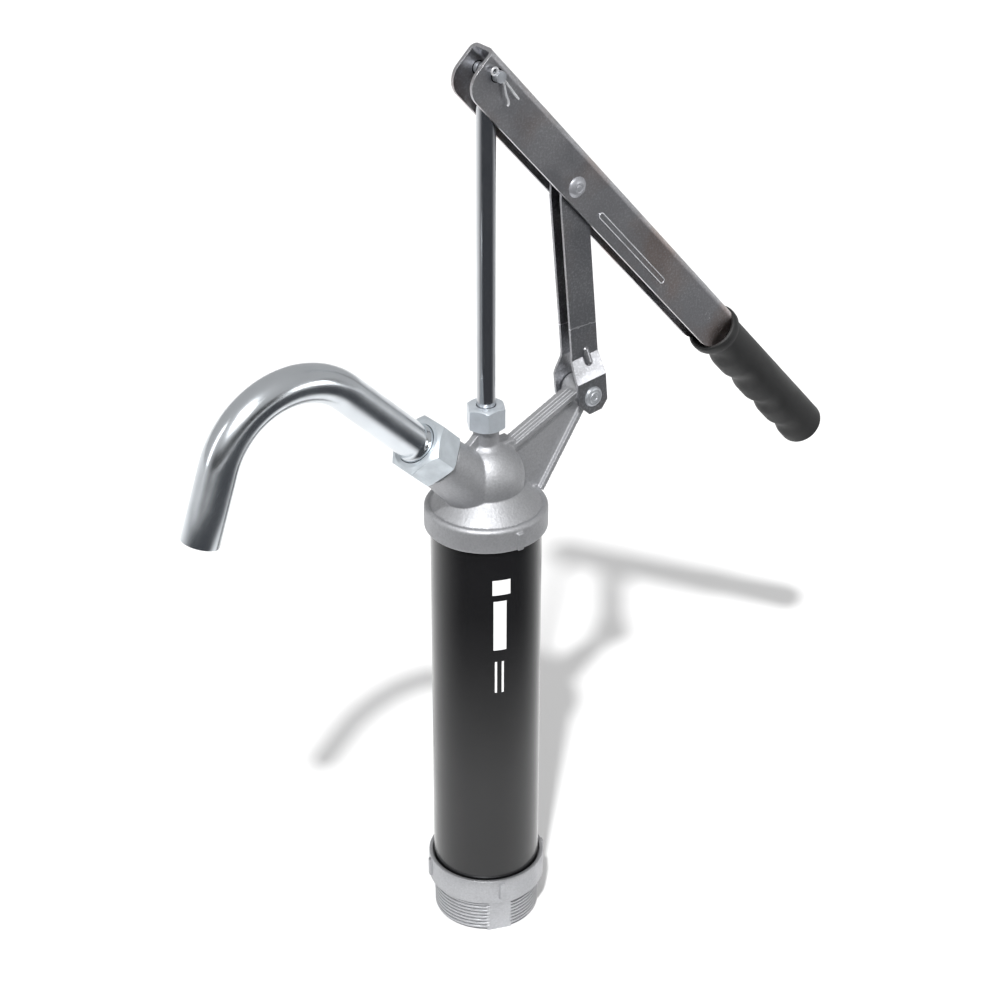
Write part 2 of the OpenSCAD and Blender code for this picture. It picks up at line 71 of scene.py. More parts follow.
class Nodes:
    """A node tree, with short calls for the nodes that this script uses."""

    def __init__(self, tree):
        self.tree = tree

    def node(self, kind, **values):
        made = self.tree.nodes.new(kind)
        for key, value in values.items():
            made.inputs[key].default_value = value
        return made

    def link(self, source, target):
        self.tree.links.new(source, target)

    def fill(self, made, operation, values):
        """Sets a node's operation and its inputs, each to a number, a vector or another output."""
        made.operation = operation
        for socket, value in zip(made.inputs, values):
            if isinstance(value, bpy.types.NodeSocket):
                self.link(value, socket)
            else:
                socket.default_value = value
        return made

    def math(self, operation, *values):
        return self.fill(self.node("ShaderNodeMath"), operation, values).outputs[0]

    def vector(self, operation, *values):
        return self.fill(self.node("ShaderNodeVectorMath"), operation, values).outputs

    def coordinates(self, place):
        made = self.node("ShaderNodeSeparateXYZ")
        self.link(place, made.inputs[0])
        return made.outputs

    def ramp(self, factor, low, high, from_low=0.35, from_high=0.65, smooth=False):
        """From low to high while factor goes through a range, and level on both sides of it."""
        made = self.node("ShaderNodeMapRange", **{
            "From Min": from_low, "From Max": from_high, "To Min": low, "To Max": high})
        if smooth:
            made.interpolation_type = "SMOOTHSTEP"
        self.link(factor, made.inputs["Value"])
        return made.outputs["Result"]


class Surface(Nodes):
    """A principled material whose colour, roughness and bump come from noise in object space."""

    def __init__(self, name, colour, metallic=0.0, roughness=0.5, bevel=0.0004, coat=0.0):
        self.material = bpy.data.materials.new(name)
        self.material.use_nodes = True
        super().__init__(self.material.node_tree)
        self.shader = self.tree.nodes["Principled BSDF"]
        self.shader.inputs["Base Color"].default_value = (*colour, 1)
        self.shader.inputs["Metallic"].default_value = metallic
        self.shader.inputs["Roughness"].default_value = roughness
        self.shader.inputs["Coat Weight"].default_value = coat
        self.place = self.node("ShaderNodeTexCoord").outputs["Object"]
        rounded = self.node("ShaderNodeBevel", Radius=bevel)
        rounded.samples = 4
        self.normal = rounded.outputs["Normal"]
        self.link(self.normal, self.shader.inputs["Normal"])

    def noise(self, size, detail=3.0, warp=0.0):
        """Noise from 0 to 1 whose features are about size metres wide."""
        mapping = self.node("ShaderNodeMapping", Scale=(1 / size, 1 / size, 1 / size))
        self.link(self.place, mapping.inputs["Vector"])
        made = self.node("ShaderNodeTexNoise", Scale=1.0, Detail=detail, Distortion=warp)
        self.link(mapping.outputs["Vector"], made.inputs["Vector"])
        return made.outputs["Fac"]

    def tint(self, factor, colour):
        """Mixes the colour so far with another one."""
        socket = self.shader.inputs["Base Color"]
        mix = self.node("ShaderNodeMix")
        mix.data_type = "RGBA"
        factor_in, first, second, mixed = mix.inputs[0], mix.inputs[6], mix.inputs[7], mix.outputs[2]
        if socket.is_linked:
            self.link(socket.links[0].from_socket, first)
        else:
            first.default_value = socket.default_value
        second.default_value = (*colour, 1)
        self.link(factor, factor_in)
        self.link(mixed, socket)

    def rough(self, value):
        self.link(value, self.shader.inputs["Roughness"])

    def bump(self, height, distance, strength=1.0):
        made = self.node("ShaderNodeBump", Distance=distance, Strength=strength)
        self.link(height, made.inputs["Height"])
        self.link(self.normal, made.inputs["Normal"])
        self.normal = made.outputs["Normal"]
        self.link(self.normal, self.shader.inputs["Normal"])

    def from_axis(self, point, direction):
        """Distance of a place from the line through point along direction."""
        offset = self.vector("SUBTRACT", self.place, point)[0]
        cross = self.vector("CROSS_PRODUCT", offset, Vector(direction).normalized())[0]
        return self.vector("LENGTH", cross)["Value"]

    def turned(self, point, direction, pitch):
        """Lathe rings about an axis, from -1 to 1."""
        radius = self.from_axis(point, direction)
        wobble = self.math("MULTIPLY", self.noise(0.004), pitch * 1.5)
        turns = self.math("ADD", radius, wobble)
        return self.math("SINE", self.math("MULTIPLY", turns, math.tau / pitch))


def cast_aluminium(name, colour=(0.43, 0.435, 0.45), bevel=0.0005, rough=(0.54, 0.64)):
    made = Surface(name, colour, metallic=0.9, roughness=0.55, bevel=bevel)
    grain = made.noise(0.0011, detail=4)
    cloud = made.noise(0.018, detail=5)
    made.tint(made.ramp(cloud, 0.0, 0.35), tuple(0.75 * c for c in colour))
    made.tint(made.ramp(grain, 0.0, 0.35), tuple(1.35 * c for c in colour))
    made.rough(made.ramp(cloud, *rough))
    made.bump(grain, 0.0002, 0.8)
    made.bump(made.noise(0.006, detail=2), 0.0002, 0.5)
    return made


def paint_thread_root_shade(made):
    """Painted shade in the root of the drum thread, but not on the two smooth bands across it."""
    root_r = 28.6 * MM
    radius = made.from_axis((0, 0, 0), UP)
    x, y, z = made.coordinates(made.place)
    across = made.math("SUBTRACT", made.math("MULTIPLY", y, math.cos(BAND_SIDE)),
                       made.math("MULTIPLY", x, math.sin(BAND_SIDE)))
    root = made.math("COMPARE", radius, root_r, 0.42 * MM)
    thread = made.math("LESS_THAN", z, THREAD_LEN - 0.4 * MM)
    off_band = made.math("GREATER_THAN", made.math("ABSOLUTE", across), BAND_HALF)
    amount = made.math("MULTIPLY", made.math("MULTIPLY", root, thread), off_band)
    # Painted shade: the thread's root is painted dark where shade falls in its groove.
    made.tint(made.math("MULTIPLY", amount, 0.75), (0.06, 0.062, 0.07))


def zinc_sheet(name, colour=(0.4, 0.405, 0.425), warm=0.5, pin_gap_shadow=None, scribed=None):
    """Zinc plated sheet. pin_gap_shadow is the centre and radius of a disc painted near black as the
    shadow round a pin in its hole, and scribed the height of a wavy line scratched across it."""
    made = Surface(name, colour, metallic=1.0, roughness=0.32, bevel=0.0004)
    cloud = made.noise(0.03, detail=5, warp=0.5)
    speck = made.noise(0.0012, detail=4)
    made.tint(made.ramp(cloud, 0.0, 0.7), tuple(0.66 * c for c in colour))
    made.tint(made.ramp(made.noise(0.045, detail=3), 0.0, warm, 0.48, 0.66), (0.42, 0.34, 0.31))
    made.tint(made.ramp(speck, 0.0, 0.4, 0.48, 0.7), (0.75, 0.76, 0.8))
    made.rough(made.ramp(cloud, 0.28, 0.42))
    made.bump(speck, 0.00008, 0.6)
    made.bump(cloud, 0.0003, 0.2)
    if pin_gap_shadow:
        place, radius = pin_gap_shadow
        # Painted shadow: the sheet within the radius of the pin's axis is painted near black as the shade
        # in the gap between pin and hole.
        inside = made.math("LESS_THAN", made.from_axis(place, ACROSS), radius)
        made.tint(inside, (0.01, 0.01, 0.012))
    if scribed:
        height = made.coordinates(made.place)["Z"]
        wavy = made.math("ADD", height, made.ramp(made.noise(0.005), -0.0005, 0.0005))
        made.tint(made.math("COMPARE", wavy, scribed, 0.00035), (0.85, 0.85, 0.87))
    return made.material


def turned_zinc(name, point, direction, pitch=0.0007, colour=(0.68, 0.73, 0.78)):
    made = Surface(name, colour, metallic=0.7, roughness=0.38, bevel=0.0004)
    cloud = made.noise(0.007, detail=5)
    made.tint(made.ramp(cloud, 0.0, 0.6), tuple(0.8 * c for c in colour))
    made.rough(made.ramp(cloud, 0.3, 0.46))
    made.bump(made.turned(point, direction, pitch), 0.00003, 0.5)
    made.bump(made.noise(0.0012), 0.00004, 0.4)
    return made.material


def bright_plate(name, colour=(0.62, 0.64, 0.67), roughness=(0.1, 0.2)):
    made = Surface(name, colour, metallic=1.0, roughness=0.14, bevel=0.0003)
    cloud = made.noise(0.02, detail=5)
    made.tint(made.ramp(cloud, 0.0, 0.4), tuple(0.8 * c for c in colour))
    made.rough(made.ramp(cloud, *roughness))
    made.bump(made.noise(0.0016, detail=3), 0.00002, 0.5)
    return made.material


def black_paint(name):
    """Satin black with a fine orange peel and a plain white mark of bars down one side."""
    made = Surface(name, (0.005, 0.005, 0.0055), roughness=0.4, bevel=0.0003, coat=0.95)
    made.tint(made.ramp(made.noise(0.05, detail=3), 0.0, 0.5), (0.009, 0.009, 0.01))
    made.rough(made.ramp(made.noise(0.03, detail=4), 0.34, 0.44))
    made.bump(made.noise(0.0022, detail=2), 0.00003, 0.35)
    made.shader.inputs["Specular IOR Level"].default_value = 0.05
    made.shader.inputs["Coat Roughness"].default_value = 0.17
    # The mark faces mark_side: out is the distance towards it and across the one beside its middle
    mark_side = math.radians(248)
    mark_front = 28.5 * MM
    x, y, height = made.coordinates(made.place)
    across = made.math("ADD", made.math("MULTIPLY", x, -math.sin(mark_side)),
                       made.math("MULTIPLY", y, math.cos(mark_side)))
    out = made.math("ADD", made.math("MULTIPLY", x, math.cos(mark_side)),
                    made.math("MULTIPLY", y, math.sin(mark_side)))
    # Each bar: sideways place, height, half width and half length
    bars = [(0.0, 233, 5.0, 4.6), (-0.8, 209, 3.6, 15.5), (-3.0, 176, 0.6, 10.0), (0.8, 176, 0.6, 10.0)]
    facing = made.math("GREATER_THAN", out, mark_front)
    for side, middle, half_width, half_length in bars:
        wide = made.math("COMPARE", across, side * MM, half_width * MM)
        tall = made.math("COMPARE", height, middle * MM, half_length * MM)
        bar = made.math("MULTIPLY", made.math("MULTIPLY", wide, tall), facing)
        made.tint(bar, (0.82, 0.82, 0.82))
    return made.material


def charcoal_grip(name):
    made = Surface(name, (0.008, 0.0082, 0.0085), roughness=0.65, bevel=0.0006)
    cloud = made.noise(0.02, detail=4)
    made.tint(made.ramp(cloud, 0.0, 0.6), (0.013, 0.0132, 0.0136))
    made.rough(made.ramp(cloud, 0.46, 0.62))
    made.bump(made.noise(0.0008, detail=4), 0.00012, 0.6)
    return made.material


def plain_stuff(name, colour, other, roughness, size, metallic=0.0, depth=0.00008):
    """A quiet two-tone surface for small bright pieces and for those inside the pump."""
    made = Surface(name, colour, metallic=metallic, roughness=roughness, bevel=0.0003)
    cloud = made.noise(size, detail=5)
    made.tint(made.ramp(cloud, 0.0, 0.8), other)
    made.rough(made.ramp(cloud, roughness * 0.85, min(1.0, roughness * 1.15)))
    made.bump(made.noise(size / 8, detail=3), depth, 0.6)
    return made.material


head_metal = cast_aluminium("cast_aluminium").material
base_cast = cast_aluminium("die_cast_aluminium", (0.42, 0.425, 0.44), 0.0002, (0.44, 0.54))
paint_thread_root_shade(base_cast)
base_metal = base_cast.material
sheet_metal = zinc_sheet("zinc_sheet", scribed=357.4 * MM)
lever_metal = zinc_sheet("zinc_lever", (0.5, 0.5, 0.52), 0.8, (ROD_PIN, 3.7 * MM))
# A lighter, less metallic zinc for the rims of the lever's bead: a painted highlight along its edges.
painted_highlight_zinc = plain_stuff("painted_highlight_zinc", (0.62, 0.63, 0.65), (0.4, 0.41, 0.43),
                          0.45, 0.004, metallic=0.5)
bright_wire = plain_stuff("bright_wire", (0.75, 0.76, 0.78), (0.5, 0.51, 0.53),
                          0.35, 0.004, metallic=0.6)
machined = plain_stuff("machined_aluminium", (0.6, 0.6, 0.62), (0.5, 0.5, 0.52),
                       0.32, 0.01, metallic=1.0)
brass = plain_stuff("brass", (0.62, 0.44, 0.18), (0.5, 0.35, 0.14), 0.3, 0.01, metallic=1.0)
black_rubber = plain_stuff("black_rubber", (0.02, 0.02, 0.02), (0.035, 0.035, 0.035), 0.7, 0.006)
leather = plain_stuff("oiled_leather", (0.2, 0.11, 0.05), (0.12, 0.065, 0.03), 0.6, 0.004)
yarn = plain_stuff("packing_yarn", (0.6, 0.56, 0.45), (0.45, 0.41, 0.32), 0.85, 0.002)
LOOKS = {
    "base_cap": base_metal,
    "base_gasket": black_rubber,
    "foot_valve_seat": brass,
    "foot_valve_disc": black_rubber,
    "foot_valve_cage": brass,
    "barrel": black_paint("satin_black"),
    "head_gasket": black_rubber,
    "head_casting": head_metal,
    "gland_packing": yarn,
    "gland_washer": brass,
    "gland_nut": turned_zinc("zinc_gland_nut", (0, 0, 0), UP),
    "outlet_gasket": black_rubber,
    "outlet_nut": turned_zinc("zinc_outlet_nut", OUTLET, OUTLET_AXIS, colour=(0.6, 0.65, 0.69)),
    "spout_pipe": bright_plate("bright_spout", (0.7, 0.735, 0.77), (0.17, 0.27)),
    "piston_rod": bright_plate("polished_rod", (0.6, 0.615, 0.64), (0.12, 0.2)),
    "piston_nut": turned_zinc("zinc_piston_nut", (0, 0, 0), UP),
    "cup_washer": machined,
    "piston_cup": leather,
    "piston_body": machined,
    "piston_valve_disc": black_rubber,
    "piston_valve_stop": machined,
    "lever_channel": lever_metal,
    "lever_tang": zinc_sheet("zinc_bar", (0.36, 0.37, 0.39)),
    "tang_rivets": lever_metal,
    "grip": charcoal_grip("charcoal_grip"),
    "rod_pin": turned_zinc("zinc_rod_pin", ROD_PIN, ACROSS, 0.0006, (0.42, 0.44, 0.47)),
    "cotter_pin": bright_wire,
    "lever_rivets": turned_zinc("zinc_lever_rivet", LEVER_PIVOT, ACROSS, 0.0011, (0.42, 0.43, 0.46)),
    "link_channel": sheet_metal,
    "link_rivet": turned_zinc("zinc_link_rivet", LINK_PIVOT, ACROSS, 0.0011, (0.48, 0.5, 0.53)),
}
for name, material in LOOKS.items():
    for material_slot in NODES[name].material_slots:
        material_slot.material = material


# ---- pieces ----

def body_of_node(node):
    """The body that a CAD node belongs to."""
    return next(body for body, members in BODIES.items() if node in members)


def place_piece(mesh, name, node, look=None):
    """Makes an object of a mesh that stands for a CAD node and moves with its body."""
    mesh.materials.clear()
    mesh.materials.append(look or LOOKS[node])
    piece = bpy.data.objects.new(name, mesh)
    bpy.context.scene.collection.objects.link(piece)
    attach(piece, body_of_node(node))
    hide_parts(node)


def shade(mesh, angle):
    """Smooth faces that meet at sharp edges beyond an angle."""
    bm = bmesh.new()
    bm.from_mesh(mesh)
    limit = math.radians(angle)
    for face in bm.faces:
        face.smooth = True
    for edge in bm.edges:
        edge.smooth = len(edge.link_faces) == 2 and edge.calc_face_angle(0) < limit
    bm.to_mesh(mesh)
    bm.free()


def modified(mesh, kind, **values):
    """The mesh that one modifier makes of another."""
    piece = bpy.data.objects.new("modified", mesh)
    bpy.context.scene.collection.objects.link(piece)
    change = piece.modifiers.new("change", kind)
    for key, value in values.items():
        setattr(change, key, value)
    graph = bpy.context.evaluated_depsgraph_get()
    made = bpy.data.meshes.new_from_object(piece.evaluated_get(graph))
    bpy.data.objects.remove(piece)
    return made


def welded_copy(node):
    """A copy of a CAD node's mesh with its doubled corners joined."""
    mesh = NODES[node].data.copy()
    bm = bmesh.new()
    bm.from_mesh(mesh)
    bmesh.ops.remove_doubles(bm, verts=bm.verts, dist=1e-6)
    bm.to_mesh(mesh)
    bm.free()
    return mesh


def add_to(mesh, parts):
    """Adds rounded bars to a mesh, each a frame, its x, y and z limits in millimetres and a round."""
    bm = bmesh.new()
    bm.from_mesh(mesh)
    for place, x, y, z, round_r in parts:
        size = [(high - low) * MM for low, high in (x, y, z)]
        middle = Vector([(high + low) / 2 * MM for low, high in (x, y, z)])
        box = place @ Matrix.Translation(middle) @ Matrix.Diagonal((*size, 1))
        made = bmesh.ops.create_cube(bm, size=1.0, matrix=box)
        edges = {edge for corner in made["verts"] for edge in corner.link_edges}
        bmesh.ops.bevel(bm, geom=list(edges), offset=round_r * MM, segments=2, affect="EDGES")
    bm.to_mesh(mesh)
    bm.free()


def cast_head():
    """The casting: the CAD node with the rounded corners of a mould, two lugs and the arm's ribs."""
    mesh = modified(welded_copy("head_casting"), "REMESH", mode="VOXEL", voxel_size=0.5 * MM)
    mesh = modified(mesh, "SMOOTH", factor=0.5, iterations=1)
    shade(mesh, 180)
    lug_side = math.radians(84)
    sides = [Matrix.Rotation(turn, 4, "Z") for turn in (lug_side, lug_side + math.pi)]
    lugs = [(side, (32.0, 35.08), (-1.8, 1.8), (256.6, 266.6), 0.35) for side in sides]
    ribs = [(ARM_FRAME, (14, 57), (y - 0.25, y + 0.25), (-0.4, 0.3), 0.12) for y in (-3.0, -0.6, 1.8)]
    add_to(mesh, lugs + ribs)
    place_piece(mesh, "cast_head", "head_casting")


def pressed_copy(node, name, round_r, crisp_from):
    """A sheet part: the CAD node with rounded edges, and crisp bends from an angle in degrees."""
    mesh = welded_copy(node)
    bm = bmesh.new()
    bm.from_mesh(mesh)
    bmesh.ops.dissolve_limit(bm, angle_limit=math.radians(0.5), verts=bm.verts, edges=bm.edges)
    bm.to_mesh(mesh)
    bm.free()
    mesh = modified(mesh, "BEVEL", width=round_r, segments=2, limit_method="ANGLE",
                    angle_limit=math.radians(35))
    shade(mesh, crisp_from)
    mesh = modified(mesh, "WEIGHTED_NORMAL", keep_sharp=True)
    place_piece(mesh, name, node)


def skin(rings, closed=False):
    """A mesh through rings of equally many points. It is capped, or its last ring meets the first."""
    bm = bmesh.new()
    made = [[bm.verts.new(p) for p in ring] for ring in rings]
    count = len(rings[0])
    pairs = list(zip(made, made[1:]))
    if closed:
        pairs.append((made[-1], made[0]))
    for low, high in pairs:
        for i in range(count):
            j = (i + 1) % count
            bm.faces.new((low[i], low[j], high[j], high[i]))
    if not closed:
        bm.faces.new(list(reversed(made[0])))
        bm.faces.new(made[-1])
    bmesh.ops.recalc_face_normals(bm, faces=bm.faces)
    mesh = bpy.data.meshes.new("skin")
    bm.to_mesh(mesh)
    bm.free()
    return mesh


def turns(count):
    """Equal steps round a circle."""
    return [math.tau * i / count for i in range(count)]


def circle(centre, along, radius, count=72):
    """Points round a circle in the plane across a direction of the plane y = 0."""
    other = along.normalized().cross(ACROSS)
    return [centre + radius * (math.cos(t) * other + math.sin(t) * ACROSS) for t in turns(count)]


def spout_pipe():
    """The spout as one drawn tube with a beaded foot and a deburred square end."""
    radius, wall = 10 * MM, 1.5 * MM
    foot, bend_from, bend_r, end_len = 57.5 * MM, 125.6 * MM, 46 * MM, 40 * MM
    end_slope = 19.3
    bend = math.radians(180 - 45 - end_slope)
    bend_steps = 56
    low = OUTLET + OUTLET_AXIS * foot
    inward = OUTLET_FRAME.to_3x3() @ Vector((-1, 0, 0))
    centre = OUTLET + OUTLET_AXIS * bend_from + inward * bend_r
    path = [(low + OUTLET_AXIS * s, OUTLET_AXIS) for s in (0, 20 * MM, 40 * MM)]
    for i in range(bend_steps + 1):
        t = bend * i / bend_steps
        place = centre - inward * bend_r * math.cos(t) + OUTLET_AXIS * bend_r * math.sin(t)
        path.append((place, OUTLET_AXIS * math.cos(t) + inward * math.sin(t)))
    last, along = path[-1]
    path += [(last + along * end_len * part, along) for part in (0.5, 0.985)]
    # The bead that the nut holds: distance from the foot and radius
    bead = [(0.0, 9.0), (0.1, 12.3), (3.9, 12.3), (4.0, 11.0), (8.2, 11.0), (9.0, 10.9), (9.9, 10.55),
            (10.8, 10.2), (11.8, 10.03), (12.6, 10.0), (14.0, 10.0)]
    rings = [circle(low + OUTLET_AXIS * s * MM, OUTLET_AXIS, r * MM) for s, r in bead]
    rings += [circle(p, d, radius) for p, d in path[1:]]
    tip = last + along * end_len
    edge = 0.35 * MM
    rings += [circle(tip - along * edge * 0.3, along, radius - edge * 0.4)]
    rings += [circle(tip, along, radius - edge)]
    rings += [circle(tip, along, radius - wall + edge * 0.6)]
    rings += [circle(tip - along * edge, along, radius - wall)]
    rings += [circle(p, d, radius - wall) for p, d in reversed(path)]
    mesh = skin(rings, closed=True)
    shade(mesh, 35)
    place_piece(mesh, "spout_tube", "spout_pipe")


def smooth_step(x):
    x = min(1.0, max(0.0, x))
    return x * x * (3 - 2 * x)


def grip():
    """The moulded grip: a lipped mouth, four finger hollows along its lower side and a blunt end."""
    start, length, radius, end_r = 249, 113, 13.0, 3.0
    axis_up = -4.5
    hollows, first, pitch, reach, depth = 4, 10.5, 28.3, 9.5, 2.2
    body_from, stations = 4.6, 120
    # Distance from the mouth and radius, from inside the mouth over its lip
    mouth = [(1.5, 0.5), (1.5, 9.0), (-1.5, 11.0), (-3.2, 11.9), (-4.1, 12.6), (-4.4, 13.4),
             (-4.1, 14.2), (-3.2, 14.7), (-1.5, 14.8), (0.4, 14.7), (1.8, 14.2), (2.9, 13.4),
             (3.9, 13.0)]
    body_step = (length - end_r - body_from - 0.6) / stations
    body = [(body_from + body_step * i, radius) for i in range(stations + 1)]
    end_turns = [math.radians(a) for a in range(0, 91, 15)]
    end = [(length - end_r + end_r * math.sin(t), radius - end_r + end_r * math.cos(t)) for t in end_turns]
    rings = []
    for x, r in mouth + body + end + [(length, 0.5)]:
        offs = [(x - first - i * pitch) / reach for i in range(hollows)]
        hollow = max([(1 + math.cos(math.pi * off)) / 2 for off in offs if abs(off) < 1], default=0.0)
        ring = []
        for t in turns(72):
            under = max(0.0, -math.sin(t)) ** 1.5
            deep = r - depth * hollow * under * smooth_step((x - 3.5) / 2)
            place = Vector((start + x, deep * math.cos(t), axis_up + deep * math.sin(t)))
            ring.append(LEVER_FRAME @ (place * MM))
        rings.append(ring)
    mesh = skin(rings)
    shade(mesh, 60)
    place_piece(mesh, "moulded_grip", "grip")


def tube(path, radius, count=16):
    """A round wire through a path, with flat ends."""
    rings = []
    for i, place in enumerate(path):
        along = (path[min(i + 1, len(path) - 1)] - path[max(i - 1, 0)]).normalized()
        up = along.cross(ACROSS).normalized()
        side = up.cross(along)
        rings.append([place + radius * (math.cos(t) * up + math.sin(t) * side) for t in turns(count)])
    return skin(rings)


def split_pin():
    """A split pin of one wire: two legs through the clevis pin, bent apart, and an eye."""
    apart, eye_r, eye_x, out, wire_r = 0.6, 1.8, -4.4, -10.6, 0.62
    low = [(15.5, -7.2), (15.2, -6.0), (13.6, -4.9), (10.8, -4.0), (8.0, -2.4), (6.0, -1.2),
           (4.0, -apart), (-2.8, -apart)]
    eye_turns = [math.radians(a) for a in range(-40, -321, -20)]
    eye = [(eye_x + eye_r * math.cos(t), eye_r * math.sin(t)) for t in eye_turns]
    high = [(-2.8, apart), (4.0, apart), (9.0, 0.2), (14.0, -0.3), (18.5, -0.6)]
    path = [LEVER_FRAME @ (Vector((x, out, z)) * MM) for x, z in low + eye + high]
    mesh = tube(path, wire_r * MM)
    shade(mesh, 60)
    place_piece(mesh, "split_pin", "cotter_pin")


def bead_rims():
    """Rims of the bead that is pressed into each of the lever's cheeks, in a lighter zinc that is a
    painted highlight along the bead's edges.
    """
    start, length, half, up, cheek, rim_r = 114, 66, 1.5, -9.7, 9.05, 0.3
    half_turn = [math.pi * i / 10 for i in range(11)]
    outline = [(start - half * math.sin(t), half * math.cos(t)) for t in half_turn]
    outline += [(start + length + half * math.sin(t), -half * math.cos(t)) for t in half_turn]
    bm = bmesh.new()
    for side in (-1, 1):
        path = [LEVER_FRAME @ (Vector((x, side * cheek, up + z)) * MM) for x, z in outline]
        bm.from_mesh(tube(path + path[:1], rim_r * MM, 10))
    mesh = bpy.data.meshes.new("bead_rims")
    bm.to_mesh(mesh)
    bm.free()
    shade(mesh, 60)
    place_piece(mesh, "bead_rims", "lever_channel", painted_highlight_zinc)


# Rivet heads from their middle outward: radius and height over the sheet, in millimetres
PAN = [(0.02, 1.5), (1.3, 1.5), (1.7, 1.9), (3.0, 1.95), (3.4, 1.5), (3.9, 1.5), (4.4, 1.6),
       (5.3, 1.1), (5.8, 0.0)]
BUTTON = [(0.02, 2.1), (1.5, 2.0), (1.8, 1.7), (2.2, 1.7), (2.5, 1.95), (3.8, 1.6), (5.0, 0.9),
          (5.8, 0.0)]


def rivet(name, node, centre, half, head, inner=None):
    """Two heads half a width from the centre, on one shank or on two that end at inner."""
    shank = 3.5
    near = [(r, half + h) for r, h in head] + [(shank, half)]
    if inner is None:
        far = [(shank, -half)] + [(r, -half - h) for r, h in reversed(head)]
        ends = [(-1, near + far)]
    else:
        ends = [(side, near + [(shank, inner)]) for side in (-1, 1)]
    bm = bmesh.new()
    for side, outline in ends:
        rings = [[centre + Vector((r * math.cos(t), side * y, r * math.sin(t))) * MM for t in turns(48)]
                 for r, y in outline]
        bm.from_mesh(skin(rings))
    mesh = bpy.data.meshes.new(name)
    bm.to_mesh(mesh)
    bm.free()
    shade(mesh, 35)
    place_piece(mesh, name, node)


def threaded_cap():
    """The base cap with a true helix, smooth bands where its die parts, ribs and lugs."""
    crest, depth, pitch = 29.8, 1.48, 2.309
    thread_len = THREAD_LEN / MM
    band_x, band_half = 28.75, BAND_HALF / MM
    flank = 0.55
    thread_steps = 176

    def thread_r(z, turn):
        fade = smooth_step((z - 0.4) / 1.6) * smooth_step((thread_len - 0.4 - z) / 1.2)
        phase = (z / pitch - turn / math.tau) % 1.0
        ridge = min(1.0, (1 - abs(2 * phase - 1)) / flank)
        return crest - depth + depth * ridge * fade

    def point(r, z, turn):
        x, y = r * math.cos(turn - BAND_SIDE), r * math.sin(turn - BAND_SIDE)
        if z < thread_len and r > 27 and abs(x) > 20 and abs(y) < band_half:
            x = math.copysign(band_x, x)
        c, w = math.cos(BAND_SIDE), math.sin(BAND_SIDE)
        return Vector((x * c - y * w, x * w + y * c, z)) * MM

    # Radius and height: down the suction port, up round its boss and out to the thread's foot,
    # then from the thread's top over the ring and back down inside it
    inner = [(12.06, 18), (12.06, 2.4), (12.4, 2), (16.7, 2), (17.06, 2.4), (17.06, 14.6), (17.5, 15),
             (24.6, 15), (25, 14.6), (25, 0.4), (25.4, 0)]
    upper = [(32.3, 22.0), (32.9, 22.25), (33.2, 22.8), (33.2, 37.3), (32.95, 37.8), (32.4, 38.0),
             (31.4, 38.0), (31.05, 37.85), (30.9, 37.5), (30.9, 33.0), (30.25, 32.9), (30.25, 24.2),
             (30.0, 24.0), (12.1, 24.0), (12.0, 23.8), (12.0, 20.0), (8.0, 20.0), (8.0, 18.0)]
    heights = [0.02 + (thread_len - 0.04) * i / thread_steps for i in range(thread_steps + 1)]
    around = turns(160)
    rings = [[point(r, z, t) for t in around] for r, z in inner]
    rings += [[point(thread_r(z, t), z, t) for t in around] for z in heights]
    rings += [[point(r, z, t) for t in around] for r, z in upper]
    mesh = skin(rings, closed=True)
    quarters = [Matrix.Rotation(BAND_SIDE + t, 4, "Z") for t in turns(4)]
    sixths = [Matrix.Rotation(t, 4, "Z") for t in turns(6)]
    lugs = [(turn, (31.9, 34.45), (-1.7, 1.7), (25.2, 36.6), 0.4) for turn in quarters]
    ribs = [(turn, (16.5, 25.5), (-1.5, 1.5), (5, 15.5), 0.3) for turn in sixths]
    add_to(mesh, lugs + ribs)
    shade(mesh, 40)
    place_piece(mesh, "threaded_cap", "base_cap")


cast_head()
threaded_cap()
split_pin()
rivet("link_rivet_pan", "link_rivet", LINK_PIVOT, 10.4, PAN)
rivet("lever_rivet_button", "lever_rivets", LEVER_PIVOT, 8.5, BUTTON, 6.5)
pressed_copy("lever_channel", "pressed_lever", 0.35 * MM, 30)
pressed_copy("link_channel", "pressed_link", 0.3 * MM, 17)
spout_pipe()
grip()
bead_rims()


# ---- studio ----

def from_angles(turn, rise, distance=1.0):
    """A vector of a length whose direction turns from +X and rises from the floor, in degrees."""
    turn, rise = math.radians(turn), math.radians(rise)
    level = math.cos(rise)
    return distance * Vector((math.cos(turn) * level, math.sin(turn) * level, math.sin(rise)))


def add_lamp(name, kind, power, direction):
    """A lamp turned to shine back along a direction. A sun needs no place, so it is left at the origin."""
    data = bpy.data.lights.new(name, kind)
    data.energy = power
    lamp = bpy.data.objects.new(name, data)
    lamp.rotation_euler = direction.to_track_quat("Z", "Y").to_euler()
    bpy.context.scene.collection.objects.link(lamp)
    return lamp


def soft_box(name, turn, rise, distance, size, power):
    """A rectangular lamp that looks at the pump's middle."""
    middle = Vector((0, 0, 0.25))
    offset = from_angles(turn, rise, distance)
    lamp = add_lamp(name, "AREA", power, offset)
    lamp.location = middle + offset
    lamp.data.shape = "RECTANGLE"
    lamp.data.size, lamp.data.size_y = size


def lights():
    key = add_lamp("key", "SUN", 3.1, Vector((-0.58, -0.56, 1)))
    key.data.angle = math.radians(3)
    soft_box("front_box", 232, 42, 2.6, (1.6, 0.7), 9.5)
    soft_box("right_box", 303, 11, 2.0, (0.7, 0.45), 5)
    soft_box("left_box", 165, 25, 2.0, (0.3, 1.2), 4)


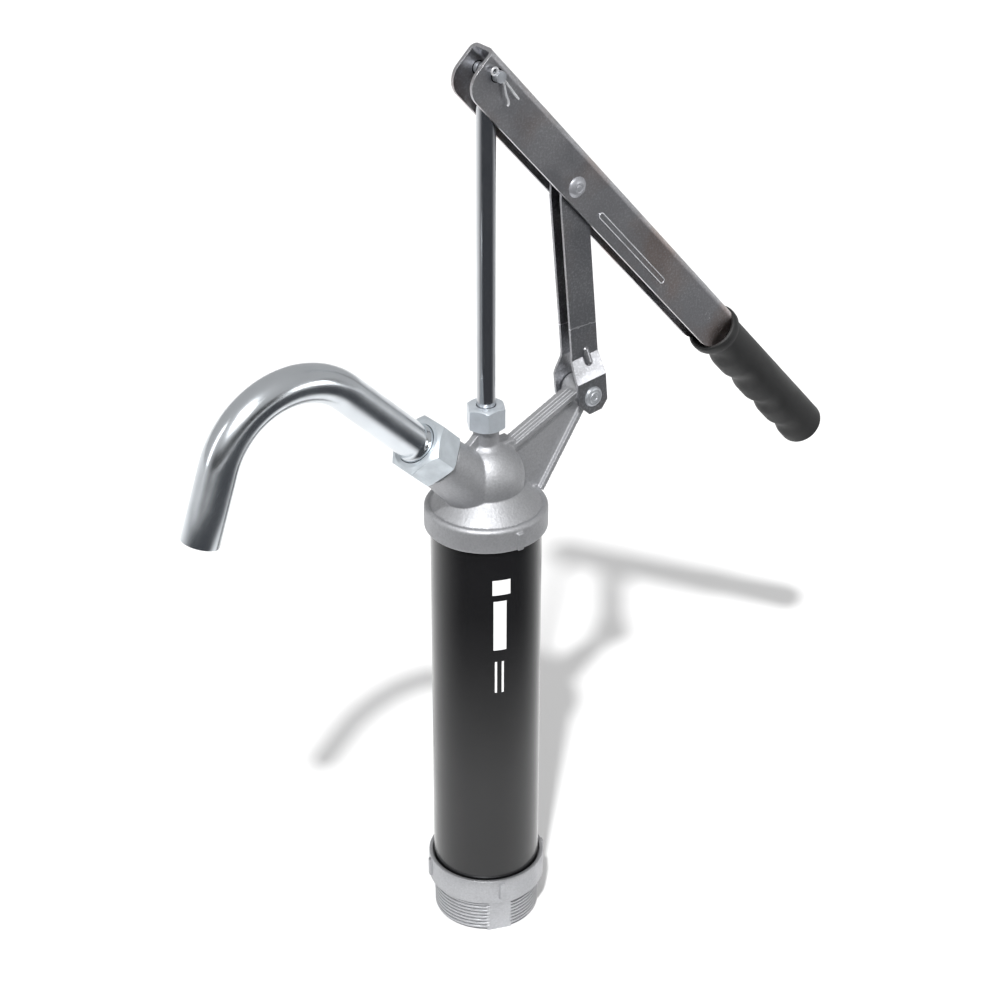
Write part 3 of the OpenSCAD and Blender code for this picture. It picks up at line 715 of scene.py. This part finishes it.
def add_plane(name, size, height, material):
    bpy.ops.mesh.primitive_plane_add(size=size, location=(0, 0, height))
    plane = bpy.context.object
    plane.name = name
    plane.data.materials.append(material)
    return plane


def floor():
    made = Surface("pale_floor", (0.93, 0.93, 0.93), roughness=0.65)
    made.tint(made.ramp(made.noise(0.3, detail=3), 0.0, 0.3), (0.92, 0.92, 0.925))
    add_plane("floor", 40, 0, made.material)


def dark_card():
    """A dark card on the floor in front, seen only in reflections, as a studio uses on bright metal."""
    material = bpy.data.materials.new("dark_card")
    material.use_nodes = True
    made = Nodes(material.node_tree)
    made.tree.nodes.clear()
    place = made.node("ShaderNodeTexCoord").outputs["Object"]
    length = made.vector("LENGTH", place)["Value"]
    forward = made.vector("DOT_PRODUCT", place, from_angles(245, 0))["Value"]
    outside = made.ramp(length, 0.0, 1.0, 0.14, 0.38, smooth=True)
    in_front = made.ramp(made.math("DIVIDE", forward, length), 0.0, 1.0, -1.0, 0.6, smooth=True)
    dark = made.node("ShaderNodeEmission", Color=(0.065, 0.068, 0.075, 1))
    clear = made.node("ShaderNodeBsdfTransparent")
    mix = made.node("ShaderNodeMixShader")
    made.link(made.math("MULTIPLY", outside, in_front), mix.inputs[0])
    made.link(clear.outputs[0], mix.inputs[1])
    made.link(dark.outputs[0], mix.inputs[2])
    made.link(mix.outputs[0], made.node("ShaderNodeOutputMaterial").inputs["Surface"])
    card = add_plane("dark_card", 8, 0.5 * MM, material)
    card.visible_camera = False
    card.visible_diffuse = False
    card.visible_transmission = False
    card.visible_shadow = False


def sky_dome():
    """A surround that the camera sees white, and the metal grey, with a dark low part on one side."""
    world = bpy.data.worlds.new("studio")
    bpy.context.scene.world = world
    world.use_nodes = True
    made = Nodes(world.node_tree)
    sky = made.tree.nodes["Background"]
    sky.inputs["Color"].default_value = (1, 1, 1, 1)
    place = made.node("ShaderNodeTexCoord").outputs["Generated"]
    toward = made.vector("DOT_PRODUCT", place, from_angles(255, 0))["Value"]
    down = made.vector("DOT_PRODUCT", place, -UP)["Value"]
    beside = made.ramp(toward, 0.0, 1.0, 0.1, 0.6, smooth=True)
    below = made.ramp(down, 0.0, 1.0, -0.42, -0.26, smooth=True)
    power = made.ramp(made.math("MULTIPLY", beside, below), 0.5, 0.05, 0.0, 1.0)
    backdrop = made.node("ShaderNodeLightPath").outputs["Is Camera Ray"]
    made.link(made.math("MAXIMUM", power, backdrop), sky.inputs["Strength"])


def camera():
    data = bpy.data.cameras.new("camera")
    data.lens = 87.6
    data.shift_x = 0.014
    data.clip_end = 50
    eye = bpy.data.objects.new("camera", data)
    eye.location = (-0.6998, -0.8956, 0.9133)
    view = Vector((0.5359, 0.6859, -0.4924))
    eye.rotation_euler = view.to_track_quat("-Z", "Y").to_euler()
    bpy.context.scene.collection.objects.link(eye)
    bpy.context.scene.camera = eye


floor()
lights()
dark_card()
sky_dome()
camera()
bpy.context.scene.view_settings.view_transform = "Standard"
